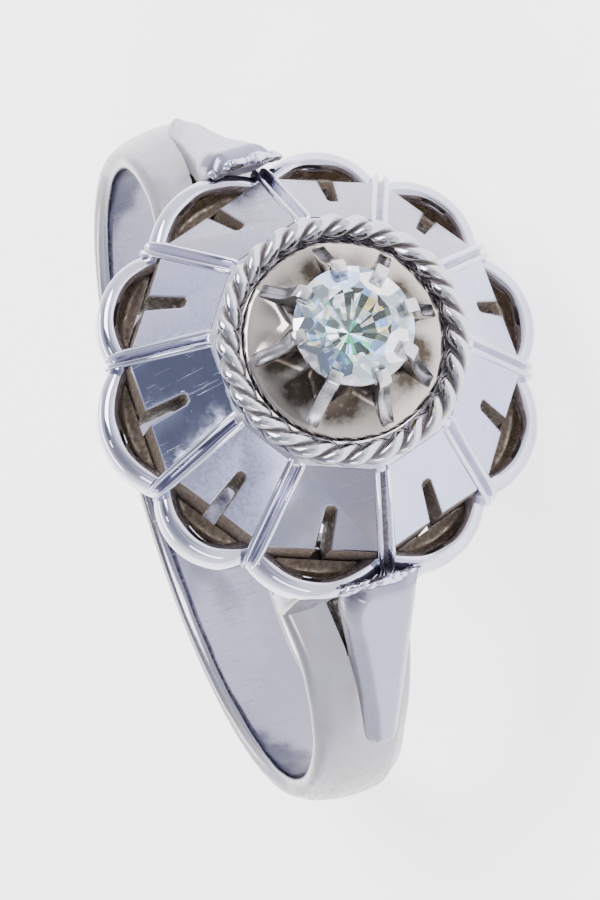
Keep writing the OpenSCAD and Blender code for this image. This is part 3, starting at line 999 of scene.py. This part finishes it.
stone = {
    "radius": 1.55, "girdle": 15.2, "girdleHeight": 0.08, "table": 0.57,
    "blankSides": 96, "blankHeight": 3, "sides": 8,
    # slopes of the kites, stars and girdle facets above, and of the main and girdle facets below
    "kites": 34.5, "stars": 21, "upperGirdle": 41.5, "mains": 41, "lowerGirdle": 42.3,
    "starInset": 0.985,  # where the stars cut the table, as a share of its radius
    "accuracy": 0.00001,
    "below": -0.1, "tableFrom": 0.99,  # height of a facet's normal below the girdle, and on the table
    "flashes": 13, "flashStart": 0.3, "flashHeights": (14.08, 14.36, 14.62, 14.85),
    "lotScale": 11, "lotShift": (3.3, 1.7, 0),
    "roughness": 0.02, "bending": 1.5,
}


def cutStone(bm, point, slope, turn, below=False):
    # cuts off what lies outside a plane through the point
    rise = math.radians(slope)
    normal = Vector((math.sin(rise), 0, -math.cos(rise) if below else math.cos(rise)))
    spun = turnZ(turn)
    geometry = list(bm.verts) + list(bm.edges) + list(bm.faces)
    cut = bmesh.ops.bisect_plane(bm, geom=geometry, dist=stone["accuracy"], plane_co=spun @ Vector(point),
                                 plane_no=spun.to_3x3() @ normal, clear_outer=True)
    edges = [g for g in cut["geom_cut"] if isinstance(g, bmesh.types.BMEdge)]
    if edges:
        bmesh.ops.contextual_create(bm, geom=edges)


def splitBelow(bm, point, normal):
    # splits the facets below the girdle, so that each part can show its own painted flash
    faces = [f for f in bm.faces if f.normal.z < stone["below"]]
    edges = {e for f in faces for e in f.edges}
    verts = {v for f in faces for v in f.verts}
    bmesh.ops.bisect_plane(bm, geom=list(verts) + list(edges) + faces, dist=stone["accuracy"], plane_co=point,
                           plane_no=normal)


# painted reflections and glow that flash from the facets below the girdle, and the share of the facets at
# which each starts
paintedFlashColours = [
    (0.0, (0.01, 0.03, 0.025)), (0.24, (0.12, 0.17, 0.16)), (0.4, (0.1, 0.6, 0.35)), (0.44, (1.0, 0.8, 0.3)),
    (0.48, (0.3, 0.55, 1.0)), (0.54, (0.7, 0.8, 0.95)), (0.68, (1.0, 1.0, 1.0)),
]
# painted reflection tints of the facets around the table, which also glow a little
crownPaintedTints = [
    (0.0, (0.2, 0.26, 0.38)), (0.22, (1.0, 1.0, 1.0)), (0.44, (0.5, 0.62, 0.9)), (0.56, (0.95, 0.9, 1.0)),
    (0.8, (0.36, 0.42, 0.5)),
]
# the facets below the girdle are tinted mirrors with a painted glow, and the crown's facets have a weaker
# painted glow
diamondFinishes = {
    "diamondTable": {"colours": None, "clear": 1, "metal": 0, "paintedGlow": 0},
    "diamondPaintedFlash": {"colours": paintedFlashColours, "clear": 0, "metal": 1, "paintedGlow": 0.9},
    "diamondCrown": {"colours": crownPaintedTints, "clear": 1, "metal": 0.5, "paintedGlow": 0.25},
}


def facetColours(tree, shader, colours):
    # each facet's painted flash colour, used both as its colour and as its glow
    flash = tree.nodes.new("ShaderNodeAttribute")
    flash.attribute_name = "paintedFlash"
    ramp = tree.nodes.new("ShaderNodeValToRGB")
    ramp.color_ramp.interpolation = "CONSTANT"
    stops = ramp.color_ramp.elements
    while len(stops) < len(colours):
        stops.new(1)
    for stop, (share, colour) in zip(stops, colours):
        stop.position = share
        stop.color = (*colour, 1)
    tree.links.new(flash.outputs["Fac"], ramp.inputs[0])
    tree.links.new(ramp.outputs[0], shader.inputs["Base Color"])
    tree.links.new(ramp.outputs[0], shader.inputs["Emission Color"])


def diamondFinish(name, finish):
    material, shader = newMaterial(name)
    if finish["colours"]:
        facetColours(material.node_tree, shader, finish["colours"])
    else:
        setInputs(shader, {"Base Color": (1, 1, 1, 1)})
    setInputs(shader, {"Transmission Weight": finish["clear"], "Metallic": finish["metal"],
                       "Emission Strength": finish["paintedGlow"], "Roughness": stone["roughness"],
                       "IOR": stone["bending"]})
    return material


def cutFacets(bm):
    radius = stone["radius"]
    top = stone["girdle"] + stone["girdleHeight"] / 2
    bottom = stone["girdle"] - stone["girdleHeight"] / 2
    tableRadius = radius * stone["table"]
    tableHeight = top + (radius - tableRadius) * math.tan(math.radians(stone["kites"]))
    cutStone(bm, (0, 0, tableHeight), 0, 0)
    step = 360 / stone["sides"]
    for i in range(stone["sides"]):
        cutStone(bm, (radius, 0, top), stone["kites"], step * i)
        cutStone(bm, (radius, 0, bottom), stone["mains"], step * i, True)
    for i in range(2 * stone["sides"]):
        turn = step / 4 + step / 2 * i
        cutStone(bm, (radius, 0, top), stone["upperGirdle"], turn)
        cutStone(bm, (radius, 0, bottom), stone["lowerGirdle"], turn, True)
    for i in range(stone["sides"]):
        cutStone(bm, (tableRadius * stone["starInset"], 0, tableHeight), stone["stars"], step / 2 + step * i)


def addStone():
    bm = blankMesh()
    bmesh.ops.create_cone(bm, cap_ends=True, cap_tris=False, segments=stone["blankSides"],
                          radius1=stone["radius"], radius2=stone["radius"], depth=stone["blankHeight"])
    bmesh.ops.translate(bm, verts=bm.verts, vec=(0, 0, stone["girdle"]))
    cutFacets(bm)
    faceOut(bm)
    paintedFlash = bm.faces.layers.float.new("paintedFlash")
    for i in range(stone["flashes"]):
        turn = math.pi * (i + stone["flashStart"]) / stone["flashes"]
        splitBelow(bm, origin, (math.sin(turn), math.cos(turn), 0))
    for height in stone["flashHeights"]:
        splitBelow(bm, (0, 0, height), stoneAxis)
    for face in bm.faces:
        lotAt = face.calc_center_median() * stone["lotScale"] + Vector(stone["lotShift"])
        face[paintedFlash] = 0.5 + 0.5 * noise.cell(lotAt)
        if face.normal.z < stone["below"]:
            face.material_index = 1
        elif face.normal.z < stone["tableFrom"]:
            face.material_index = 2
    finishes = [diamondFinish(name, finish) for name, finish in diamondFinishes.items()]
    addPiece("stone", bm, finishes, "brilliant", 1)


addStone()
print("stone done")

# floor, lights and camera

cameraSetup = {
    "target": (0.098, -2.498, 2.395),  # the point at the middle of the picture, in millimetres
    "distance": 180, "azimuth": 79.381, "elevation": 26.821, "roll": 103.383,
    "lens": 395.275, "sensor": 36, "nearest": 0.01, "furthest": 10,
}


def addCamera(setup):
    turn = math.radians(setup["azimuth"])
    rise = math.radians(setup["elevation"])
    back = Vector((math.cos(rise) * math.cos(turn), math.cos(rise) * math.sin(turn), math.sin(rise)))
    camera = addObject("camera", bpy.data.cameras.new("camera"))
    place = Matrix.Translation((Vector(setup["target"]) + back * setup["distance"]) * millimetre)
    level = back.to_track_quat("Z", "Y").to_matrix().to_4x4()
    camera.matrix_world = place @ level @ Matrix.Rotation(-math.radians(setup["roll"]), 4, "Z")
    camera.data.lens = setup["lens"]
    camera.data.sensor_width = setup["sensor"]
    camera.data.sensor_fit = "HORIZONTAL"
    camera.data.clip_start = setup["nearest"]
    camera.data.clip_end = setup["furthest"]
    bpy.context.scene.camera = camera


addCamera(cameraSetup)
print("camera done")

studio = {
    # height from the horizon up to straight overhead, brightness there and tint
    "surround": [(0.0, 2.4, (0.96, 0.97, 1.0)), (0.3, 2.4, (0.96, 0.97, 1.0)), (0.6, 1.5, (0.9, 0.93, 1.0)),
                 (0.85, 0.8, (0.82, 0.86, 1.0)), (1.0, 0.7, (0.8, 0.85, 1.0))],
    # dark places in the surround: direction, cosines of the outer and inner edge, and the share left
    "darkPlaces": [
        ((0.164, 0.877, 0.451), 0.965, 0.99, 0.4),
        ((-0.17, -0.24, 0.955), 0.96, 0.984, 0.45),
    ],
    # place, aim, width, height in millimetres and brightness of the soft boxes
    "boxes": [
        ((-60, 40, 95), (0, 0, 5), 60, 80, 13),
        ((75, 10, 60), (0, 0, 5), 24, 60, 6),
        ((-20, -90, 45), (0, 0, 5), 80, 30, 5),
        ((0, -23, 104), (0, 0, 5), 10, 12, 14),
    ],
}


def addSurround(setup):
    world = bpy.data.worlds.new("studio")
    bpy.context.scene.world = world
    world.use_nodes = True
    tree = world.node_tree
    place = tree.nodes.new("ShaderNodeTexCoord")
    parts = tree.nodes.new("ShaderNodeSeparateXYZ")
    ramp = tree.nodes.new("ShaderNodeValToRGB")
    tree.links.new(place.outputs["Generated"], parts.inputs[0])
    tree.links.new(parts.outputs["Z"], ramp.inputs[0])
    peak = max(bright for high, bright, tint in setup["surround"])
    stops = ramp.color_ramp.elements
    while len(stops) < len(setup["surround"]):
        stops.new(1)
    for stop, (high, bright, tint) in zip(stops, setup["surround"]):
        stop.position = high
        stop.color = (*[c * bright / peak for c in tint], 1)
    share = 1.0
    for direction, outer, inner, left in setup["darkPlaces"]:
        toward = tree.nodes.new("ShaderNodeVectorMath")
        toward.operation = "DOT_PRODUCT"
        tree.links.new(place.outputs["Generated"], toward.inputs[0])
        toward.inputs[1].default_value = direction
        shade = spreadValue(tree, toward.outputs["Value"], (outer, inner), (1, left))
        share = combine(tree, "MULTIPLY", shade, share)
    background = tree.nodes["Background"]
    tree.links.new(ramp.outputs[0], background.inputs["Color"])
    tree.links.new(combine(tree, "MULTIPLY", share, peak, clamp=False), background.inputs["Strength"])


def addSoftBoxes(setup):
    for i, (spot, aim, width, height, bright) in enumerate(setup["boxes"]):
        light = bpy.data.lights.new("softBox" + str(i + 1), "AREA")
        light.shape = "RECTANGLE"
        light.size = width * millimetre
        light.size_y = height * millimetre
        light.energy = bright * math.pi * light.size * light.size_y
        lamp = addObject(light.name, light)
        toAim = Vector(aim) - Vector(spot)
        lamp.matrix_world = (Matrix.Translation(Vector(spot) * millimetre)
                             @ toAim.to_track_quat("-Z", "Y").to_matrix().to_4x4())


floorHalf = 2
floorLook = {
    "Base Color": (0.9, 0.9, 0.9, 1), "Roughness": 0.9, "Specular IOR Level": 0.1,
    "Emission Color": (1, 1, 1, 1), "Emission Strength": 2.1,
}


def addFloor():
    mesh = bpy.data.meshes.new("floor")
    bm = bmesh.new()
    bmesh.ops.create_grid(bm, x_segments=1, y_segments=1, size=floorHalf)
    bm.to_mesh(mesh)
    bm.free()
    material, shader = newMaterial("paleTable")
    setInputs(shader, floorLook)
    mesh.materials.append(material)
    floor = addObject("floor", mesh)


addSurround(studio)
addSoftBoxes(studio)
addFloor()
print("studio done")
